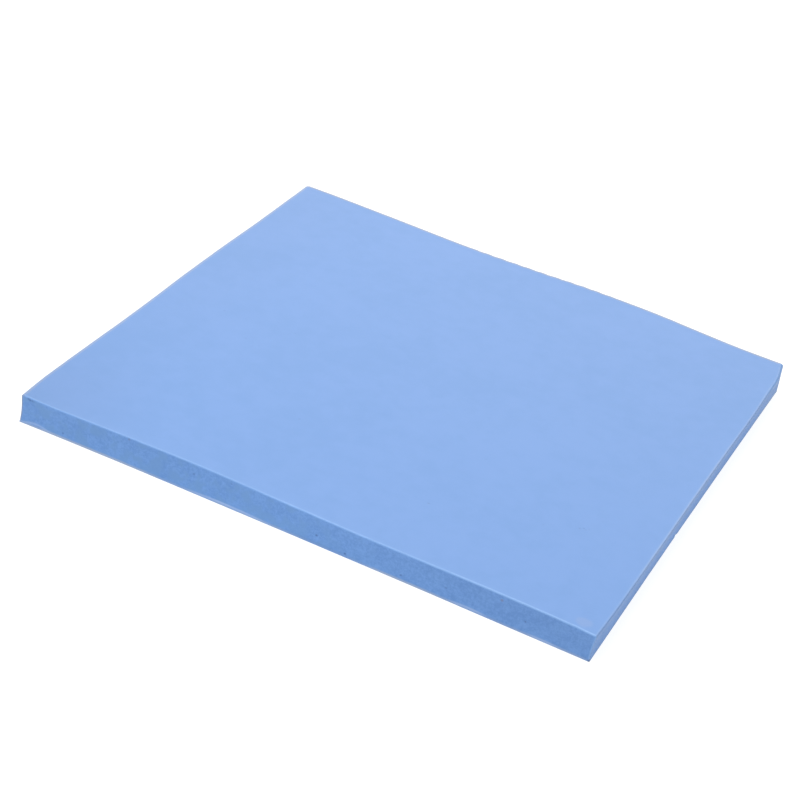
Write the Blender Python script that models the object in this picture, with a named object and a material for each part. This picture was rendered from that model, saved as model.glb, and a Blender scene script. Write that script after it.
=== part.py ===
# Thermal pad sheet: one slab of soft silicone, cut to size with a blade on its four sides, lying flat.
#
# Frame: X runs along the front cut, Y from the front cut to the back one, Z up.
# The origin is under the middle of the sheet, on the plane it lies on.

import math

import bmesh
import bpy
from mathutils import Vector

MM = 0.001

# The sheet
LENGTH = 100 * MM  # along X
WIDTH = 100 * MM  # along Y
THICKNESS = 5 * MM

# The cut faces: each sinks a little between its rim and its foot, as a blade leaves soft stock
RIM_RADIUS = 0.2 * MM  # rounding from a cut face into the top
DISH_DEPTH = 0.18 * MM  # how far the face sinks behind the line from rim to foot
DISH_HEIGHT = 2.0 * MM  # height of the deepest line over the underside
CORNER_RADII = {
    "front_left": 0.2 * MM,
    "front_right": 0.2 * MM,
    "back_left": 0.7 * MM,
    "back_right": 0.5 * MM,
}

# How far each cut stands outside the nominal side, at shares of the side's length, in millimetres.
# Front and back run with X, left and right run with Y. The blade leant, so rim and foot differ.
RIM_CUT = {
    "front": (
        (0, 0.3), (0.06, 0.33), (0.15, 0), (0.31, -0.47), (0.38, -0.4), (0.5, -0.18),
        (0.62, 0.05), (0.8, 0.01), (0.92, 0.16), (1, 0.5),
    ),
    "back": (
        (0, 0.44), (0.06, 0.5), (0.2, 0.21), (0.36, -0.17), (0.5, 0.36), (0.6, 1),
        (0.7, 1.1), (0.76, 0.91), (0.83, 0.31), (0.92, -0.26), (1, -0.1),
    ),
    "left": (
        (0, -0.05), (0.08, 0.26), (0.35, 0.15), (0.54, 0.37), (0.67, 0.33), (0.78, 0.17), (1, 0.16),
    ),
    "right": (
        (0, 0.02), (0.12, 0.11), (0.3, 0.19), (0.5, 0.2), (0.65, 0.23), (0.8, 0.32),
        (0.87, 0.29), (0.93, 0.16), (0.97, -0.05), (1, -0.35),
    ),
}
FOOT_CUT = {
    "front": ((0, 0.44), (0.1, 0.19), (0.22, 0.03), (0.5, -0.07), (0.72, -0.03), (0.85, 0.07), (1, 0.16)),
    "back": ((0, -0.1), (0.36, -0.6), (0.66, 0.4), (0.85, -0.45), (1, -1.5)),
    "left": ((0, -0.12), (0.1, -0.18), (0.35, -0.2), (0.6, 0.05), (1, -0.15)),
    "right": ((0, -0.17), (0.35, -0.26), (0.7, -0.18), (1, 0)),
}

# How finely the cut faces are divided
SIDE_SPANS = 32
FACE_BANDS = 7
RIM_BANDS = 3
CORNER_STEPS = 3
ON_PLANE = 1e-7  # a vertex nearer a dividing plane than this counts as on it
SHARP_ANGLE = math.radians(50)  # an edge that turns more than this stays sharp

PAD_COLOUR = (0.11, 0.25, 0.55, 1.0)
PAD_ROUGHNESS = 0.45


def clear_scene():
    for old in list(bpy.data.objects):
        bpy.data.objects.remove(old, do_unlink=True)


def wander(points, share):
    """The cut's offset in metres at a share of the side, on a smooth curve through its points."""
    last = len(points) - 1
    here = 0
    while here < last - 1 and share > points[here + 1][0]:
        here += 1
    (start, low), (end, high) = points[here], points[here + 1]
    before = points[max(here - 1, 0)]
    after = points[min(here + 2, last)]
    step = end - start
    slope_in = (high - before[1]) / (end - before[0]) * step
    slope_out = (after[1] - low) / (after[0] - start) * step
    t = min(max((share - start) / step, 0), 1)
    rise = t * t * (3 - 2 * t)
    bend = t * (1 - t) * ((1 - t) * slope_in - t * slope_out)
    return (low + (high - low) * rise + bend) * MM


def dish(height):
    """How far a cut face sinks at a height between foot and rim."""
    rim_height = THICKNESS - RIM_RADIUS
    if height >= rim_height:
        return 0
    skew = math.log(0.5) / math.log(DISH_HEIGHT / rim_height)
    return DISH_DEPTH * math.sin(math.pi * (height / rim_height) ** skew)


def rounding(height):
    """How far the rim's rounding draws in at a height over the rim's start."""
    over = max(height - (THICKNESS - RIM_RADIUS), 0)
    return RIM_RADIUS - math.sqrt(max(RIM_RADIUS**2 - over**2, 0))


def cut_offset(side, share, height):
    """How far the cut face stands outside the nominal side at a height."""
    up = height / THICKNESS
    outline = wander(FOOT_CUT[side], share) * (1 - up) + wander(RIM_CUT[side], share) * up
    return outline - dish(height) - rounding(height)


def cut_shape(point):
    """Moves a point of the square block to its place on the cut sheet."""
    across = point.x / LENGTH + 0.5
    along = point.y / WIDTH + 0.5
    left = cut_offset("left", along, point.z)
    right = cut_offset("right", along, point.z)
    front = cut_offset("front", across, point.z)
    back = cut_offset("back", across, point.z)
    return Vector((
        point.x + right * across - left * (1 - across),
        point.y + back * along - front * (1 - along),
        point.z,
    ))


def upright_edge(mesh, x_sign, y_sign):
    for edge in mesh.edges:
        a, b = (vertex.co for vertex in edge.verts)
        upright = abs(a.z - b.z) > THICKNESS / 2
        if upright and a.x * x_sign > 0 and a.y * y_sign > 0:
            return edge
    return None


def round_corners(mesh):
    signs = {"front_left": (-1, -1), "front_right": (1, -1), "back_left": (-1, 1), "back_right": (1, 1)}
    for corner, radius in CORNER_RADII.items():
        bmesh.ops.bevel(
            mesh,
            geom=[upright_edge(mesh, *signs[corner])],
            offset=radius,
            affect="EDGES",
            segments=CORNER_STEPS,
            profile=0.5,
        )


def cut_walls(mesh, place, normal):
    """Divides the side faces by a plane, and leaves the top and the underside whole."""
    walls = [face for face in mesh.faces if abs(face.normal.z) < 0.5]
    edges = {edge for face in walls for edge in face.edges}
    corners = {vertex for face in walls for vertex in face.verts}
    bmesh.ops.bisect_plane(
        mesh,
        geom=walls + list(edges) + list(corners),
        plane_co=place,
        plane_no=normal,
        dist=ON_PLANE,
    )


def divide_walls(mesh):
    straight_x = LENGTH - 2 * max(CORNER_RADII.values())
    straight_y = WIDTH - 2 * max(CORNER_RADII.values())
    for index in range(1, SIDE_SPANS):
        share = index / SIDE_SPANS - 0.5
        cut_walls(mesh, (straight_x * share, 0, 0), (1, 0, 0))
        cut_walls(mesh, (0, straight_y * share, 0), (0, 1, 0))
    rim_height = THICKNESS - RIM_RADIUS
    for index in range(1, FACE_BANDS + 1):
        cut_walls(mesh, (0, 0, rim_height * index / FACE_BANDS), (0, 0, 1))
    for index in range(1, RIM_BANDS):
        turn = math.pi / 2 * index / RIM_BANDS
        cut_walls(mesh, (0, 0, rim_height + RIM_RADIUS * math.sin(turn)), (0, 0, 1))


def centre_on_origin(mesh):
    """Puts the middle of the sheet's outline over the origin."""
    xs = [vertex.co.x for vertex in mesh.verts]
    ys = [vertex.co.y for vertex in mesh.verts]
    middle = Vector(((min(xs) + max(xs)) / 2, (min(ys) + max(ys)) / 2, 0))
    bmesh.ops.translate(mesh, verts=mesh.verts, vec=-middle)


def pad_material():
    material = bpy.data.materials.new("pad_silicone")
    material.use_nodes = True
    shader = material.node_tree.nodes["Principled BSDF"]
    shader.inputs["Base Color"].default_value = PAD_COLOUR
    shader.inputs["Roughness"].default_value = PAD_ROUGHNESS
    shader.inputs["Metallic"].default_value = 0.0
    material.diffuse_color = PAD_COLOUR
    return material


def make_pad(collection):
    block = bmesh.new()
    bmesh.ops.create_cube(block, size=1)
    bmesh.ops.translate(block, verts=block.verts, vec=(0, 0, 0.5))
    bmesh.ops.scale(block, verts=block.verts, vec=(LENGTH, WIDTH, THICKNESS))
    round_corners(block)
    divide_walls(block)
    for vertex in block.verts:
        vertex.co = cut_shape(vertex.co)
    centre_on_origin(block)
    bmesh.ops.recalc_face_normals(block, faces=block.faces)
    mesh = bpy.data.meshes.new("pad_sheet")
    block.to_mesh(mesh)
    block.free()
    mesh.shade_smooth()
    mesh.set_sharp_from_angle(angle=SHARP_ANGLE)
    mesh.materials.append(pad_material())
    pad = bpy.data.objects.new("pad_sheet", mesh)
    collection.objects.link(pad)
    return pad


def main():
    clear_scene()
    collection = bpy.data.collections.new("thermal_pad_sheet")
    bpy.context.scene.collection.children.link(collection)
    make_pad(collection)


main()
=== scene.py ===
import functools
import math
import random

import bmesh
import bpy
import numpy as np
from mathutils import Matrix, Vector, noise


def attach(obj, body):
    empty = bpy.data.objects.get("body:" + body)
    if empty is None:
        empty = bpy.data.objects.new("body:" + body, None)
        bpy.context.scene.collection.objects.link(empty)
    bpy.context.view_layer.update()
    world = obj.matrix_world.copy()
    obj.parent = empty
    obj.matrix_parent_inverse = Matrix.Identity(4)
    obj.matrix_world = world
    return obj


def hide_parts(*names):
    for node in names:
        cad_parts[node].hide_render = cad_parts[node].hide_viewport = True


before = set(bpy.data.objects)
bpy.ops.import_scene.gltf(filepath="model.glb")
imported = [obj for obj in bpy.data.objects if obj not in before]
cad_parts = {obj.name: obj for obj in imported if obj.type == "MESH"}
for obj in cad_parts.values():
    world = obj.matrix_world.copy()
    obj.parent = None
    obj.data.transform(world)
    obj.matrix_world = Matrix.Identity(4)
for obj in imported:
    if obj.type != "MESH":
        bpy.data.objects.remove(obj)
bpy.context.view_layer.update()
mm = 0.001
white = (1, 1, 1, 1)
print("frame loaded:", ", ".join(sorted(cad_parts)))


# The silicone sheet. It is one slab: two flat moulded faces and four sides cut with a blade.

sheet = {
    "length": 100 * mm,  # along X
    "width": 100 * mm,  # along Y
    "thickness": 5 * mm,
    "middle": (-0.0302 * mm, 0.3 * mm),  # the middle of the cut outline, from that of the square
    "rimRadii": {"front": 0.15 * mm, "back": 0.25 * mm, "left": 0.22 * mm, "right": 0.2 * mm},
    "bluntRadius": 0.45 * mm,  # the rim's radius at the back right corner, which is pressed down
    "bluntStretch": {"right": (0.8, 0.94), "back": (0.93, 1)},  # shares between which a rim turns blunt
    "dishDepth": 0.18 * mm,  # how far a cut face sinks behind the line from rim to foot
    "dishHeight": 2.0 * mm,  # height of its deepest line
    "dishLost": 0.35,  # how much of the dish is missing at the front left corner
    "dishShare": 0.06,  # share of the side over which it comes back
    "rimHeight": 4.75 * mm,  # where the widest rounding starts
    "spans": 150,  # divisions along each side
    "endSteps": (0, 0.05, 0.11, 0.18, 0.27, 0.38, 0.52, 0.7, 0.95, 1.3),  # finer toward a corner, in mm
    "levels": (
        0, 0.05, 0.1, 0.15, 0.2, 0.26, 0.33, 0.42, 0.54, 0.7, 0.95, 1.25, 1.6, 2.0, 2.4, 2.8, 3.2,
        3.6, 4.0, 4.25, 4.45, 4.6, 4.7,
    ),  # heights in mm up to the rim's rounding
    "rimSteps": 6,
    "swellDepth": 0.012 * mm,  # the top is not quite flat
    "swellSize": 11 * mm,
    "swellFiner": (3, 0.5),  # a second wave is this many times finer, and this strong
    "swellFade": 2 * mm,  # from the rim in
    "cornerBlend": (1.2 * mm, 6 * mm),  # heights over which a corner turns to its radius at the top
    "cornerGain": 1.2,  # makes up for the end of that blend, which lies over the top
    "sharpAngle": math.radians(50),  # an edge that turns more than this stays sharp
}
cornerRadii = {  # at the foot and at the top, in mm
    (-1, -1): (0.12, 0.12),
    (1, -1): (0.2, 0.2),
    (-1, 1): (0.7, 0.7),
    (1, 1): (0.4, 0.35),
}

# How far each cut stands outside the nominal side in mm, at shares of the side's length
rimCut = {
    "front": (
        (0, 0.3), (0.06, 0.33), (0.15, 0), (0.31, -0.47), (0.38, -0.4), (0.5, -0.18),
        (0.62, 0.01), (0.8, -0.09), (0.92, 0.05), (1, 0.45),
    ),
    "back": (
        (0, 0.44), (0.06, 0.5), (0.2, 0.21), (0.36, -0.17), (0.5, 0.36), (0.6, 1),
        (0.7, 1.1), (0.76, 0.91), (0.83, 0.31), (0.92, -0.26), (1, -0.1),
    ),
    "left": (
        (0, -0.05), (0.08, 0.26), (0.35, 0.15), (0.54, 0.37), (0.67, 0.33), (0.78, 0.17), (1, 0.16),
    ),
    "right": (
        (0, 0.02), (0.05, 0.15), (0.12, 0.25), (0.3, 0.28), (0.5, 0.27), (0.65, 0.36), (0.76, 0.45),
        (0.87, 0.43), (0.91, 0.45), (0.935, 0.41), (0.95, 0.27), (0.965, 0.04), (0.98, -0.2), (1, -0.5),
    ),
}
footCut = {
    "front": ((0, 0.44), (0.1, 0.19), (0.22, 0.03), (0.5, -0.07), (0.72, -0.03), (0.85, 0.07), (1, 0.16)),
    "back": ((0, -0.1), (0.36, -0.6), (0.66, 0.4), (0.85, -0.45), (1, -1.5)),
    "left": ((0, -0.12), (0.1, -0.18), (0.35, -0.2), (0.6, 0.05), (1, -0.15)),
    "right": ((0, -0.17), (0.35, -0.26), (0.7, -0.18), (1, 0)),
}

# The fine relief of the cuts
relief = {
    "lipWidth": 0.03 * mm,  # the foot stands out from the cut face by this much
    "lipHeight": 0.22 * mm,
    "lipWaver": (0.75, 0.5, 30),  # mean and swing of its width, and how fast that changes along a side
    "lipFrom": 0.35,  # share of its height where the face begins to step in
    "lipBack": (5, 0.7),  # up to this many heights the face comes out again, by this share of the step
    "ledgeHighlightHalf": 0.22 * mm,  # half the height of the painted highlight on the ledge
    "lipPatches": (  # side, share of its middle, half length in shares, extra height and width in mm
        ("front", 0.03, 0.03, 0.36, 0.09),
        ("front", 0.38, 0.08, 0.12, 0.05),
        ("front", 0.8, 0.035, 0.12, 0.04),
        ("front", 0.925, 0.03, 0.02, 0.02),
        ("left", 0.4, 0.08, 0.06, 0.05),
        ("back", 0.3, 0.1, 0.08, 0.05),
    ),
    "footHighlightLine": (  # share of the front side, strength of the painted highlight along its foot
        (0, 0.7), (0.06, 1.8), (0.18, 1.8), (0.25, 0.75), (0.3, 0.65), (0.46, 0.8), (0.53, 0.35),
        (0.61, 0.35), (0.67, 1.5), (0.76, 0.9), (0.84, 0.5), (0.89, 0.75), (1, 0.7),
    ),
    "scallopDepth": 0.08 * mm,  # on the back rim, where the blade chattered
    "scallopPitch": 2.8 * mm,
    "scallopFrom": 0.34,
    "scallopTo": 0.68,
    "scallopFade": 0.05,  # share of the side over which they come and go
    "scallopFoot": 0.6,  # share of the height where they begin
    "notches": (  # side, share of its middle, half length in shares, depth and height in mm
        ("right", 0.41, 0.004, 0.15, 0),
        ("front", 0.967, 0.014, 0.1, 5),
    ),
    "notchReach": 0.6 * mm,  # up and down the face
    "dragDepth": 0.02 * mm,  # slow waver of the blade
    "dragLength": 6 * mm,
    "dragUp": 0.4,  # it changes more slowly up the face
    "grainDepth": 0.008 * mm,
    "grainSize": 0.9 * mm,
}

# Pits left by air in the silicone: place along the side or on the top in mm, radius in mm, strength, dust
pits = {
    "depth": 0.1 * mm,
    "around": 0.9 * mm,  # faces this far past a pit are divided with it
    "shortest": 0.12 * mm,  # edges shorter than this are not divided
    "cuts": 4,
    "sunk": 1.5,  # only what lies within this many radii is moved
    "search": 2 * mm,  # how far a cut may lie from the nominal side
    "front": (
        (-48.8, 4.66, 0.26, 0.6, 0), (-48.4, 4.62, 0.32, 0.75, 0), (-47.9, 4.6, 0.26, 0.5, 0),
        (-41.9, 0.9, 0.26, 0.6, 0), (-30.0, 4.7, 0.3, 0.5, 0.7), (-18.7, 3.2, 0.26, 0.6, 0),
        (-11.9, 4.2, 0.24, 0.5, 0), (4.0, 1.6, 0.3, 0.8, 0), (8.9, 0.5, 0.28, 0.8, 0),
        (18.1, 1.0, 0.26, 0.7, 0), (25.6, 2.0, 0.24, 0.6, 0), (34.3, 4.0, 0.34, 0.6, 1),
        (39.2, 2.0, 0.26, 0.7, 0),
    ),
    "top": (
        (-38.7, -4.1, 0.3, 0.2, 0), (-30.6, -10.3, 0.3, 0.16, 0), (-28.2, -10.9, 0.26, 0.12, 0),
        (-25, -2.7, 0.26, 0.12, 0), (3.1, -11.3, 0.26, 0.12, 0), (-11.6, -26.9, 0.3, 0.2, 0),
        (15.8, -34.9, 0.34, 0.26, 0), (17.8, -17.6, 0.3, 0.1, 0), (32.8, -28.9, 0.26, 0.12, 0),
        (37.6, -25.5, 0.34, 0.26, 0), (38.3, -25.4, 0.3, 0.26, 0), (39, -25.2, 0.24, 0.2, 0),
        (47.7, -1.5, 0.26, 0.14, 0),
    ),
    "strays": 6,  # seeded pits on each of the other cut faces
    "strayPlaces": ((-46, 46), (0.8, 4)),  # along and up the face, in mm
    "strayRadii": (0.2, 0.3),
    "strayStrength": 0.7,
    "strayClean": 0.8,  # share of them without dust
    "seed": 5,
}

# What the material reads from the mesh
markNames = (
    "cutFace",  # 1 on the cuts, 0 on the top and the underside
    "pastRim",  # mm from the rim, down a cut, or in over the top where it is negative
    "toCorner",  # mm from an upright edge
    "ledge",  # painted highlight along the wide parts of the ledge
    "foot",  # painted highlight along the foot
    "dusty",  # 1 on the cuts other than the front one, less at the blunt corner; picks their tint and the colour of their painted rim highlight
    "pit",  # how dark a pit is: painted shade in its dent, also the dark spot at the foot of the front right corner
    "dust",  # in some pits
    "rimHighlightAndWorn",  # how strongly a rim gets its painted highlight and pale rub
    "dull",  # how grey that rub is
    "paintedShading",  # brightness: painted light and shade
    "grey",  # how far patches of the grain turn grey
)

# Along a side, a look has its first value, and each group then gives two shares and the change between them
looks = {
    # strength of each rim's painted highlight, with some real pale wear
    "rimHighlightAndWorn": {
        "front": (0.5, (0.4, 0.5, 0.15), (0.65, 0.85, 0.35)),
        "right": (0.5, (0.1, 0.25, 0.5), (0.55, 0.75, -0.4), (0.86, 0.95, -0.42)),
        "back": (0.9,),
        "left": (0.9,),
    },
    "grey": {"front": (1, (0.4, 0.7, -0.9)), "right": (0.3,), "back": (1,), "left": (1,)},
    "bluntPaintedLight": 0.35,  # painted light added at the blunt corner, where the rounding faces away from the light
    "bluntPaintedLightReach": 0.85,  # how much further down the painted light reaches there
    "dull": {"back": 1, "left": 0.5},
    "dullCorner": (0.35 * mm, 0.6 * mm),  # from the left side, where the front cut's rub stops being dull
    "mitre": 0.2 * mm,  # on the top, half the width over which one side's painted rim highlight and rub turns into the next one's
    "cutTop": (4.8 * mm, 4.95 * mm),  # heights between which a cut gives way to the moulded top
    "footHighlightTop": (0.1 * mm, 0.45 * mm),  # heights between which the painted highlight at the foot ends
    "footSpot": 0.5 * mm,  # reach of the dark spot at the foot of the front right corner
    "clear": 10,  # mm, stands for far from any upright edge
    "frontLight": (0.5, 0.25, 0.04),  # middle and half of a stretch of painted light, and how much lighter it is
    "frontDark": (0.64, 0.95, 0.06),  # shares between which painted shade darkens the front cut, and how much
    "frontShade": (0.55, 0.12, 0.09),  # middle and half of a stretch of painted shade in the hollow over the foot, and how much
    "shadeHeight": (0.25 * mm, 0.45 * mm),  # its middle and half up the face
    "rightPaintedShade": 0.09,  # how much painted shade darkens the right cut at its rim
    "paintedTopShading": 1.012,  # brightness of the top, the base of its painted shading
    "topLeft": (22 * mm, 0.035),  # painted shade darkens the top this near to its left side, and how much
    "topCorner": (26 * mm, 0.09),  # and this near to its front left corner
}


def wander(points, share):  # a smooth line through the points of a table
    last = len(points) - 1
    here = 0
    while here < last - 1 and share > points[here + 1][0]:
        here += 1
    (start, low), (end, high) = points[here], points[here + 1]
    before = points[max(here - 1, 0)]
    after = points[min(here + 2, last)]
    step = end - start
    slopeIn = (high - before[1]) / (end - before[0]) * step
    slopeOut = (after[1] - low) / (after[0] - start) * step
    t = min(max((share - start) / step, 0), 1)
    bend = t * (1 - t) * ((1 - t) * slopeIn - t * slopeOut)
    return (low + (high - low) * t * t * (3 - 2 * t) + bend) * mm


def bell(value, middle, half):  # 1 in the middle, 0 from half away
    near = max(1 - ((value - middle) / half) ** 2, 0)
    return near * near


def ease(value, low, high):  # 0 at low, 1 at high, smooth between
    t = min(max((value - low) / (high - low), 0), 1)
    return t * t * (3 - 2 * t)


def bluntness(side, share):  # 1 at the back right corner
    stretch = sheet["bluntStretch"].get(side)
    return ease(share, *stretch) if stretch else 0


def dish(side, share, height):  # how far the face is hollowed
    if height >= sheet["rimHeight"]:
        return 0
    skew = math.log(0.5) / math.log(sheet["dishHeight"] / sheet["rimHeight"])
    flatter = bluntness(side, share)
    if side in ("front", "left"):
        flatter = sheet["dishLost"] * (1 - ease(share, 0, sheet["dishShare"]))
    return sheet["dishDepth"] * (1 - flatter) * math.sin(math.pi * (height / sheet["rimHeight"]) ** skew)


def rounding(height, radius):  # how far the rounded rim draws in
    over = max(height - (sheet["thickness"] - radius), 0)
    return radius - math.sqrt(max(radius**2 - over**2, 0))


def lipAt(side, share):  # width, height and strength of the foot's ledge
    width, tall, strength = relief["lipWidth"], relief["lipHeight"], 0
    for patchSide, middle, half, extraHeight, extraWidth in relief["lipPatches"]:
        if patchSide == side:
            near = bell(share, middle, half)
            tall += extraHeight * mm * near
            width += extraWidth * mm * near
            strength = max(strength, near)
    mean, swing, pace = relief["lipWaver"]
    waver = mean + swing * noise.noise(Vector((share * pace, len(side), 3)))
    return width * waver, tall, strength


def footLip(side, share, height):  # the face steps in over the foot, which leaves a thin ledge
    width, tall = lipAt(side, share)[:2]
    heights, back = relief["lipBack"]
    stepped = width * ease(height, tall * relief["lipFrom"], tall)
    return stepped * (1 - ease(height, tall, tall * heights) * back)


def ledge(side, share, height):  # 1 on the wide parts of the ledge, for the painted highlight along them
    tall, strength = lipAt(side, share)[1:]
    return bell(height, tall, relief["ledgeHighlightHalf"]) * math.sqrt(strength)


def footHighlightLine(side, share):  # strength of the painted highlight along the foot
    places, strengths = zip(*relief["footHighlightLine"])
    return float(np.interp(share, places, strengths)) if side == "front" else 1


def drag(side, share, height):  # the blade's slow waver and the grain it leaves, different on each side
    seed = 10 * len(side) + ord(side[0])
    along = share * sheet["length"]
    up = height / relief["dragLength"] * relief["dragUp"]
    slow = noise.noise(Vector((along / relief["dragLength"], seed, up)))
    grain = noise.noise(Vector((along / relief["grainSize"], seed + 7, height / relief["grainSize"])))
    return relief["dragDepth"] * slow + relief["grainDepth"] * grain


def scallops(side, share, height):  # chatter marks of the blade on the back rim
    if side != "back":
        return 0
    start, end, fade = relief["scallopFrom"], relief["scallopTo"], relief["scallopFade"]
    window = ease(share, start, start + fade) * (1 - ease(share, end - fade, end))
    wave = math.sin(2 * math.pi * share * sheet["length"] / relief["scallopPitch"])
    rise = ease(height, sheet["thickness"] * relief["scallopFoot"], sheet["thickness"])
    return relief["scallopDepth"] * window * wave * rise


def notch(side, share, height):
    cut = 0
    for notchSide, middle, half, depth, level in relief["notches"]:
        if notchSide == side:
            cut += depth * mm * bell(share, middle, half) * bell(height, level * mm, relief["notchReach"])
    return cut


@functools.lru_cache(maxsize=None)
def cutOffset(side, share, height):  # how far a cut stands outside the nominal side
    up = height / sheet["thickness"]
    radius = sheet["rimRadii"][side]
    radius += (sheet["bluntRadius"] - radius) * bluntness(side, share)
    outline = wander(footCut[side], share) * (1 - up) + wander(rimCut[side], share) * up
    fine = drag(side, share, height) + scallops(side, share, height) - notch(side, share, height)
    hollow = dish(side, share, height) + footLip(side, share, height)
    return outline + fine - hollow - rounding(height, radius)


def shares(x, y):  # of the length and of the width, from the front left corner
    return x / sheet["length"] + 0.5, y / sheet["width"] + 0.5


def insets(x, y):  # how far in from the nearest sides
    return sheet["length"] / 2 - abs(x), sheet["width"] / 2 - abs(y)


def roundedCorner(x, y, height):  # draws the block's square corners in to their radii
    signs = (1 if x > 0 else -1, 1 if y > 0 else -1)
    low, high = cornerRadii[signs]
    radius = (low + (high - low) * ease(height, *sheet["cornerBlend"]) * sheet["cornerGain"]) * mm
    outX = abs(x) - (sheet["length"] / 2 - radius)
    outY = abs(y) - (sheet["width"] / 2 - radius)
    if outX <= 0 or outY <= 0:
        return x, y
    drawnX = outX * math.sqrt(1 - (outY / radius) ** 2 / 2)
    drawnY = outY * math.sqrt(1 - (outX / radius) ** 2 / 2)
    return x - signs[0] * (outX - drawnX), y - signs[1] * (outY - drawnY)


def swell(x, y):  # how far the top lies under its height
    across, along = x / sheet["swellSize"], y / sheet["swellSize"]
    finer, strength = sheet["swellFiner"]
    wave = noise.noise(Vector((across, along, 0)))
    wave += strength * noise.noise(Vector((across * finer, along * finer, 5)))
    return sheet["swellDepth"] * min(wave - 1, 0) * ease(min(insets(x, y)), 0, sheet["swellFade"])


def sideStations(length):  # where a side is divided
    near = np.array(sheet["endSteps"]) * mm
    between = sheet["spans"] - 2 * (len(near) - 1)
    middle = np.linspace(near[-1], length - near[-1], between + 1)
    return np.concatenate((near[:-1], middle, length - near[:-1][::-1])) - length / 2


def levelStations():  # heights at which a cut is divided
    turns = np.linspace(0, math.pi / 2, sheet["rimSteps"] + 1)
    rounded = sheet["thickness"] - sheet["rimHeight"]
    return np.concatenate((np.array(sheet["levels"]) * mm, sheet["rimHeight"] + rounded * np.sin(turns)))


def dividedBlock(acrossCount, alongCount, upCount):  # a unit cube whose faces are grids
    block = bmesh.new()
    bmesh.ops.create_cube(block, size=1)
    bmesh.ops.translate(block, verts=block.verts, vec=(0.5, 0.5, 0.5))
    for axis, count in ((2, upCount), (0, acrossCount), (1, alongCount)):
        lying = [edge for edge in block.edges if abs((edge.verts[0].co - edge.verts[1].co)[axis]) > 0.5]
        bmesh.ops.subdivide_edges(block, edges=lying, cuts=count - 1)
    return block


def wallOf(at, counts):  # the cut that a place in the grid lies on, if any
    if at[1] == 0:
        return "front"
    if at[1] == counts[1]:
        return "back"
    if at[0] == 0:
        return "left"
    return "right" if at[0] == counts[0] else None


def lookAt(look, side, share):  # the value of a look at a share of a side
    start, *changes = looks[look][side]
    return start + sum(change * ease(share, low, high) for low, high, change in changes)


def paintedWallShading(side, share, height):  # painted light and shade of a cut: the front one is darker toward its right end
    if side == "front":
        middle, half, lighter = looks["frontLight"]
        low, high, darker = looks["frontDark"]
        place, reach, shade = looks["frontShade"]
        shaded = shade * bell(share, place, reach) * bell(height, *looks["shadeHeight"])
        return 1 + lighter * bell(share, middle, half) - darker * ease(share, low, high) - shaded
    return 1 - looks["rightPaintedShade"] * height / sheet["thickness"] if side == "right" else 1


def paintedTopShading(x, y):  # painted shade: the top is darker toward its left side and its front left corner
    toLeft, toFront = x + sheet["length"] / 2, y + sheet["width"] / 2
    (leftReach, leftDark), (cornerReach, cornerDark) = looks["topLeft"], looks["topCorner"]
    corner = 1 - ease(math.hypot(toLeft, toFront), 0, cornerReach)
    return looks["paintedTopShading"] - leftDark * (1 - ease(toLeft, 0, leftReach)) - cornerDark * corner


def cutMarks(wall, x, y, z):
    across, along = shares(x, y)
    inX, inY = insets(x, y)
    share = across if wall in ("front", "back") else along
    blunt = bluntness(wall, share) if wall == "right" else 0
    nearLeft = 1 - ease(x + sheet["length"] / 2, *looks["dullCorner"])
    spot = bell(z, 0, looks["footSpot"]) * bell(inX + inY, 0, looks["footSpot"]) if x > 0 > y else 0
    return {
        "cutFace": 1 - ease(z, *looks["cutTop"]),
        "pastRim": (sheet["thickness"] - z) / mm * (1 - looks["bluntPaintedLightReach"] * blunt),
        "toCorner": max(inX, inY) / mm,
        "ledge": ledge(wall, share, z),
        "foot": (1 - ease(z, *looks["footHighlightTop"])) * footHighlightLine(wall, share),
        "dusty": 0 if wall == "front" else 1 - blunt,
        "rimHighlightAndWorn": lookAt("rimHighlightAndWorn", wall, share) + looks["bluntPaintedLight"] * blunt,
        "dull": looks["dull"].get(wall, nearLeft),
        "paintedShading": paintedWallShading(wall, share, z),
        "grey": lookAt("grey", wall, share),
        "pit": spot,
    }


def flatMarks(x, y):  # on the top and the underside
    across, along = shares(x, y)
    inX, inY = insets(x, y)
    toSide = ease(inY - inX, -looks["mitre"], looks["mitre"])
    side, end = "right" if x > 0 else "left", "back" if y > 0 else "front"
    return {
        "pastRim": -min(inX, inY) / mm,
        "toCorner": looks["clear"],
        "dusty": toSide,
        "rimHighlightAndWorn": lookAt("rimHighlightAndWorn", side, along) * toSide + lookAt("rimHighlightAndWorn", end, across) * (1 - toSide),
        "dull": looks["dull"].get(side, 0) * toSide + looks["dull"].get(end, 0) * (1 - toSide),
        "paintedShading": paintedTopShading(x, y),
    }


def makeSheet():
    stations = (sideStations(sheet["length"]), sideStations(sheet["width"]), levelStations())
    counts = [len(places) - 1 for places in stations]
    block = dividedBlock(*counts)
    marks = {name: block.verts.layers.float.new(name) for name in markNames}
    for vertex in block.verts:
        at = [round(vertex.co[axis] * counts[axis]) for axis in range(3)]
        x, y, level = (float(stations[axis][at[axis]]) for axis in range(3))
        wall = wallOf(at, counts)
        for name, value in (cutMarks(wall, x, y, level) if wall else flatMarks(x, y)).items():
            vertex[marks[name]] = value
        z = level if wall or level == 0 else level + swell(x, y)
        across, along = shares(x, y)
        x, y = roundedCorner(x, y, level)
        x += cutOffset("right", along, level) * across - cutOffset("left", along, level) * (1 - across)
        y += cutOffset("back", across, level) * along - cutOffset("front", across, level) * (1 - along)
        vertex.co = (x, y, z)
    return block


def sideways(apart, outward):  # how long a distance is along the surface
    return (apart - outward * apart.dot(outward)).length


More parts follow.
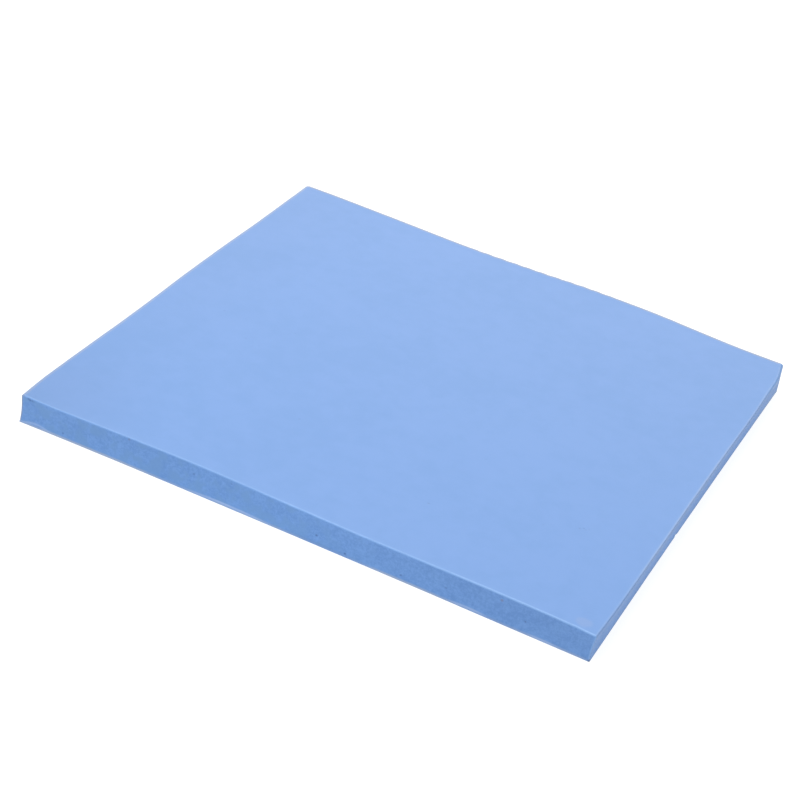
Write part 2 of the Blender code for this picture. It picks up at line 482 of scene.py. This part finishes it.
# Divides the faces round a place, then dents them
def sinkPit(block, marks, place, outward, radius, strength, dusty):
    reach = radius + pits["around"]
    near = [face for face in block.faces if (face.verts[0].co - place).length < reach]
    near = [face for face in near if face.normal.dot(outward) > 0.5]
    edges = {edge for face in near for edge in face.edges if edge.calc_length() > pits["shortest"]}
    divided = bmesh.ops.subdivide_edges(block, edges=list(edges), cuts=pits["cuts"], use_grid_fill=True)
    touched = {part for part in divided["geom"] if isinstance(part, bmesh.types.BMVert)}
    touched |= {vertex for face in near if face.is_valid for vertex in face.verts}
    for vertex in touched:
        if (vertex.co - place).length < radius * pits["sunk"]:
            dent = bell(sideways(vertex.co - place, outward), 0, radius) * strength
            vertex.co -= outward * pits["depth"] * dent
            vertex[marks["pit"]] = max(vertex[marks["pit"]], dent)
            vertex[marks["dust"]] = max(vertex[marks["dust"]], dent * dusty)


def onSurface(block, wall, first, second):  # the nearest place on a cut or the top
    halfX, halfY, top = sheet["length"] / 2 / mm, sheet["width"] / 2 / mm, sheet["thickness"] / mm
    start, outward = {
        "front": ((first, -halfY, second), (0, -1, 0)),
        "back": ((first, halfY, second), (0, 1, 0)),
        "left": ((-halfX, first, second), (-1, 0, 0)),
        "right": ((halfX, first, second), (1, 0, 0)),
        "top": ((first, second, top), (0, 0, 1)),
    }[wall]
    start, outward = Vector(start) * mm, Vector(outward)
    near = [vertex for vertex in block.verts if abs((vertex.co - start).dot(outward)) < pits["search"]]
    nearest = min(near, key=lambda vertex: sideways(vertex.co - start, outward))
    return nearest.co.copy(), outward


def strayPit():  # one row of a pit table, drawn from the seed
    place = [random.uniform(*span) for span in pits["strayPlaces"]]
    radius = random.uniform(*pits["strayRadii"])
    return (*place, radius, pits["strayStrength"], random.random() > pits["strayClean"])


def sinkPits(block):
    marks = {name: block.verts.layers.float[name] for name in ("pit", "dust")}
    random.seed(pits["seed"])
    places = {wall: pits[wall] for wall in ("front", "top")}
    for wall in ("back", "left", "right"):
        places[wall] = [strayPit() for stray in range(pits["strays"])]
    for wall, found in places.items():
        for first, second, radius, strength, dusty in found:
            place, outward = onSurface(block, wall, first, second)
            sinkPit(block, marks, place, outward, radius * mm, strength, float(dusty))


block = makeSheet()
print("slab divided and cut:", len(block.verts), "vertices")
bmesh.ops.recalc_face_normals(block, faces=block.faces)
sinkPits(block)
middle = Vector((*sheet["middle"], 0))
bmesh.ops.translate(block, verts=block.verts, vec=-middle)
print("pits sunk:", len(block.verts), "vertices")
padMesh = bpy.data.meshes.new("padSlab")
block.to_mesh(padMesh)
block.free()
padMesh.shade_smooth()
padMesh.set_sharp_from_angle(angle=sheet["sharpAngle"])
padSlab = bpy.data.objects.new("padSlab", padMesh)
bpy.context.scene.collection.objects.link(padSlab)
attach(padSlab, "root")
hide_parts("pad_sheet")
triangles = sum(len(face.vertices) - 2 for face in padMesh.polygons)
print("slab finished:", len(padMesh.polygons), "faces,", triangles, "triangles")


# Materials

class Wire:  # a shader socket that Python's own operators work on
    def __init__(self, tree, socket=None):
        self.tree = tree
        self.socket = socket

    def node(self, kind, settings, values, output=0):
        made = self.tree.nodes.new(kind)
        for name, value in settings.items():
            setattr(made, name, value)
        for name, value in values.items():
            if isinstance(value, Wire):
                self.tree.links.new(value.socket, made.inputs[name])
            else:
                made.inputs[name].default_value = value
        return Wire(self.tree, made.outputs[output])

    def maths(self, operation, first, second):
        return self.node("ShaderNodeMath", {"operation": operation}, {0: first, 1: second})

    def __add__(self, other):
        return self.maths("ADD", self, other)

    def __sub__(self, other):
        return self.maths("SUBTRACT", self, other)

    def __rsub__(self, other):
        return self.maths("SUBTRACT", other, self)

    def __mul__(self, other):
        return self.maths("MULTIPLY", self, other)

    __radd__ = __add__
    __rmul__ = __mul__

    def larger(self, other):
        return self.maths("MAXIMUM", self, other)

    def step(self, low, high):  # 0 at low, 1 at high, smooth between
        return self.node(
            "ShaderNodeMapRange",
            {"interpolation_type": "SMOOTHSTEP"},
            {"Value": self, "From Min": low, "From Max": high},
        )

    def blend(self, first, second):  # colours, first where this is 0
        return self.node(
            "ShaderNodeMix", {"data_type": "RGBA"}, {0: self, 6: first, 7: second}, output=2
        )


silicone = {
    "pale": (0.1165, 0.2555, 0.561, 1),
    "deep": (0.1052, 0.2443, 0.5395, 1),
    "grainLight": (0.131, 0.2825, 0.607, 1),
    "grainDark": (0.095, 0.226, 0.521, 1),
    "grainGrey": (0.114, 0.253, 0.52, 1),
    "sideTint": (0.88, 1, 1.045, 1),  # the cuts other than the front one are a little bluer
    "rimHighlightAndWearColour": (0.186, 0.357, 0.68, 1),  # painted highlight on the rim and the upright edges, with some pale wear
    "sideRimHighlightAndWear": (0.175, 0.297, 0.55, 1),  # the painted highlight and wear of the cuts other than the front one
    "dullWear": (0.21, 0.262, 0.385, 1),  # that of the back and left rims
    # painted highlight on the ledge, where the foot lip faces up into the light
    "ledge": (0.25, 0.375, 0.64, 1),
    # painted highlight along the foot
    "foot": (0.25, 0.335, 0.5, 1),
    # painted shade in the pits
    "pit": (0.04, 0.10, 0.26, 1),
    "dust": (0.2, 0.22, 0.32, 1),
    "scuff": (0.142, 0.264, 0.54, 1),
    "scuffPlace": (46.9 * mm, -48.6 * mm, 5 * mm),
    "scuffReach": (1.5 * mm, 1.2 * mm, 1 * mm),
    "scuffRagged": 1.8,  # how far noise moves its border
    "scuffFade": (0.6, 1.15),  # in reaches from its place
    "roughness": 0.45,
    "ior": 1.45,
    "roughNoise": 0.08,
    "roughCut": 0.08,  # the cuts are rougher than the top
    "smoothRim": 0.1,  # and a rubbed rim is smoother
    "bumpFlat": 0.12,  # share of the bump that is on the top too
    "bumpStrength": 0.4,
    "bumpDistance": 0.02 * mm,
    "flatMix": (0.4, 0.4, 0.2),  # of the broad, cloudy and fine noise
    "flatSpan": (0.36, 0.62),  # noise between which the top goes from deep to pale
    "grainMix": (0.42, 0.33, 0.25),  # of the grain, fine and cloudy noise
    "grainSpan": (0.37, 0.63),
    "greySpan": (0.44, 0.62),  # patchy noise between which the grain turns grey
    "greyMost": 0.8,
    "rimStart": (-0.36, -0.03),  # mm past the rim between which its painted highlight and rub begins
    "rimEnd": (0.1, 0.22),  # and between which it ends
    "dullWider": 0.21,  # mm, how much earlier a dull rub begins
    "dustyLower": 0.05,  # mm, how much later it ends on the cuts other than the front one
    "cornerEnd": (0.1, 0.36),  # mm from an upright edge between which its painted highlight and rub ends
    "rimPatchy": (0.6, 0.8),  # least strength of a rim's painted highlight and rub, and what the patchy noise adds
    "cornerPatchy": (0.45, 0.9),
    "footHighlightLeast": 0.35,  # least strength of the painted highlight at the foot
    # least strength of the painted highlight on the ledge
    "ledgeHighlightLeast": 0.6,
    "sideFootHighlightLoss": 0.8,  # how much of the painted highlight at the foot the cuts other than the front one lose
}

# Scale, detail and roughness of each noise
noises = {
    "broad": (60, 3, 0.5),
    "cloudy": (330, 3, 0.5),
    "patchy": (420, 2, 0.5),
    "fine": (1500, 3, 0.5),
    "grain": (3200, 3, 0.6),
}


def mixOf(weights, *wires):
    first, *others = (wire * weight for wire, weight in zip(wires, weights))
    return sum(others, first)


def noiseOf(wire, place, name):
    scale, detail, roughness = noises[name]
    values = {"Vector": place, "Scale": scale, "Detail": detail, "Roughness": roughness}
    return wire.node("ShaderNodeTexNoise", {}, values)


def siliconeMaterial():
    material = bpy.data.materials.new("padSilicone")
    material.use_nodes = True
    tree = material.node_tree
    shader = tree.nodes["Principled BSDF"]
    wire = Wire(tree)
    place = wire.node("ShaderNodeTexCoord", {}, {}, output="Object")
    cut, pastRim, toCorner, ledgeHighlight, foot, dusty, pit, dust, rimHighlightAndWorn, dull, paintedShading, grey = (
        wire.node("ShaderNodeAttribute", {"attribute_name": name}, {}, output="Fac") for name in markNames
    )
    broad, cloudy, patchy, fine, grain = (noiseOf(wire, place, name) for name in noises)

    flat = mixOf(silicone["flatMix"], broad, cloudy, fine).step(*silicone["flatSpan"])
    flat = flat.blend(silicone["deep"], silicone["pale"])
    grainy = mixOf(silicone["grainMix"], grain, fine, cloudy).step(*silicone["grainSpan"])
    grainy = grainy.blend(silicone["grainDark"], silicone["grainLight"])
    greyed = patchy.step(*silicone["greySpan"]) * grey * silicone["greyMost"]
    grainy = greyed.blend(grainy, silicone["grainGrey"])
    tint = dusty.blend(white, silicone["sideTint"])
    grainy = wire.node("ShaderNodeVectorMath", {"operation": "MULTIPLY"}, {0: grainy, 1: tint})
    colour = cut.blend(flat, grainy)
    begun = (pastRim + dull * silicone["dullWider"]).step(*silicone["rimStart"])
    ended = (pastRim - dusty * silicone["dustyLower"]).step(*silicone["rimEnd"])
    least, more = silicone["rimPatchy"]
    # painted highlight along the rim, partly real pale wear
    rimHighlightAndRub = begun * (1 - ended) * (least + patchy * more) * rimHighlightAndWorn
    least, more = silicone["cornerPatchy"]
    # painted highlight along the upright edges, partly pale wear
    cornerHighlightAndRub = (1 - toCorner.step(*silicone["cornerEnd"])) * (least + patchy * more)
    # colour of the painted rim highlight and rub
    rubbed = dull.blend(dusty.blend(silicone["rimHighlightAndWearColour"], silicone["sideRimHighlightAndWear"]), silicone["dullWear"])
    colour = rimHighlightAndRub.larger(cornerHighlightAndRub).blend(colour, rubbed)
    # painted highlight along the foot
    footHighlight = foot * (1 - dusty * silicone["sideFootHighlightLoss"]) * (silicone["footHighlightLeast"] + patchy)
    colour = footHighlight.blend(colour, silicone["foot"])
    # painted highlight on the ledge
    colour = (ledgeHighlight * (silicone["ledgeHighlightLeast"] + patchy)).blend(colour, silicone["ledge"])
    away = wire.node("ShaderNodeVectorMath", {"operation": "SUBTRACT"}, {0: place, 1: silicone["scuffPlace"]})
    away = wire.node("ShaderNodeVectorMath", {"operation": "DIVIDE"}, {0: away, 1: silicone["scuffReach"]})
    away = wire.node("ShaderNodeVectorMath", {"operation": "LENGTH"}, {0: away}, output="Value")
    scuffed = 1 - (away + (cloudy - 0.5) * silicone["scuffRagged"]).step(*silicone["scuffFade"])
    colour = scuffed.blend(colour, silicone["scuff"])
    # painted shade in the pits
    colour = pit.blend(colour, silicone["pit"])
    colour = dust.blend(colour, silicone["dust"])
    # painted light and shade scale the colour
    colour = wire.node("ShaderNodeVectorMath", {"operation": "SCALE"}, {0: colour, "Scale": paintedShading})
    tree.links.new(colour.socket, shader.inputs["Base Color"])

    rough = (fine - 0.5) * silicone["roughNoise"] + cut * silicone["roughCut"]
    rough = rough - rimHighlightAndRub * silicone["smoothRim"] + silicone["roughness"]
    tree.links.new(rough.socket, shader.inputs["Roughness"])
    shader.inputs["IOR"].default_value = silicone["ior"]
    height = fine * silicone["bumpFlat"] + cut * (fine * 0.5 + grain * 0.5)
    relieved = {"Strength": silicone["bumpStrength"], "Distance": silicone["bumpDistance"], "Height": height}
    bump = wire.node("ShaderNodeBump", {}, relieved)
    tree.links.new(bump.socket, shader.inputs["Normal"])
    return material


padMesh.materials.append(siliconeMaterial())
print("silicone made")


# The studio: white floor, soft lights and the camera

studio = {
    "floorSize": 3.0,
    "floorDrop": 0.02 * mm,  # how far it lies under the sheet
    "floorColour": (0.32, 0.32, 0.32, 1),
    "floorRoughness": 0.9,
    "glowColour": white,
    "floorGlow": 0.8,
    "sky": white,
    "skyStrength": 0.75,
}

softboxes = {  # direction from the sheet, distance and width in metres, watts
    "key": ((-0.35, -0.35, 0.87), 0.6, 0.3, 1.7),
    "back": ((-0.25, 0.8, 0.55), 1.2, 1.0, 6.4),
}

viewpoint = {
    "place": (0.1021953, -0.3074495, 0.193794),  # in the square's frame, like the cuts
    "right": (0.891465, 0.419291, 0.171713),
    "up": (-0.354782, 0.410249, 0.840134),
    "forward": (-0.281816, 0.809871, -0.514479),
    "sensor": 36,
    "lens": 98.46,
}


def makeFloor():
    ground = bmesh.new()
    bmesh.ops.create_grid(ground, x_segments=1, y_segments=1, size=studio["floorSize"])
    bmesh.ops.translate(ground, verts=ground.verts, vec=(0, 0, -studio["floorDrop"]))
    mesh = bpy.data.meshes.new("floor")
    ground.to_mesh(mesh)
    ground.free()
    material = bpy.data.materials.new("floorWhite")
    material.use_nodes = True
    shader = material.node_tree.nodes["Principled BSDF"]
    shader.inputs["Base Color"].default_value = studio["floorColour"]
    shader.inputs["Roughness"].default_value = studio["floorRoughness"]
    shader.inputs["Emission Color"].default_value = studio["glowColour"]
    shader.inputs["Emission Strength"].default_value = studio["floorGlow"]
    mesh.materials.append(material)
    floor = bpy.data.objects.new("floor", mesh)
    bpy.context.scene.collection.objects.link(floor)


def makeSoftbox(name, direction, distance, size, power):
    light = bpy.data.lights.new(name, "AREA")
    light.shape = "SQUARE"
    light.size = size
    light.energy = power
    lamp = bpy.data.objects.new(name, light)
    away = Vector(direction).normalized()
    lamp.location = away * distance
    lamp.rotation_euler = away.to_track_quat("Z", "Y").to_euler()
    bpy.context.scene.collection.objects.link(lamp)


def makeCamera():
    eye = bpy.data.cameras.new("camera")
    eye.sensor_width = viewpoint["sensor"]
    eye.lens = viewpoint["lens"]
    camera = bpy.data.objects.new("camera", eye)
    columns = (Vector(viewpoint["right"]), Vector(viewpoint["up"]), -Vector(viewpoint["forward"]))
    turn = Matrix(columns).transposed().to_4x4()
    camera.matrix_world = Matrix.Translation(Vector(viewpoint["place"]) - middle) @ turn
    bpy.context.scene.collection.objects.link(camera)
    bpy.context.scene.camera = camera


makeFloor()
for name, (direction, distance, size, power) in softboxes.items():
    makeSoftbox(name, direction, distance, size, power)
makeCamera()
sky = bpy.data.worlds.new("sky")
sky.use_nodes = True
sky.node_tree.nodes["Background"].inputs["Color"].default_value = studio["sky"]
sky.node_tree.nodes["Background"].inputs["Strength"].default_value = studio["skyStrength"]
bpy.context.scene.world = sky
bpy.context.scene.view_settings.view_transform = "Standard"
print("studio set")
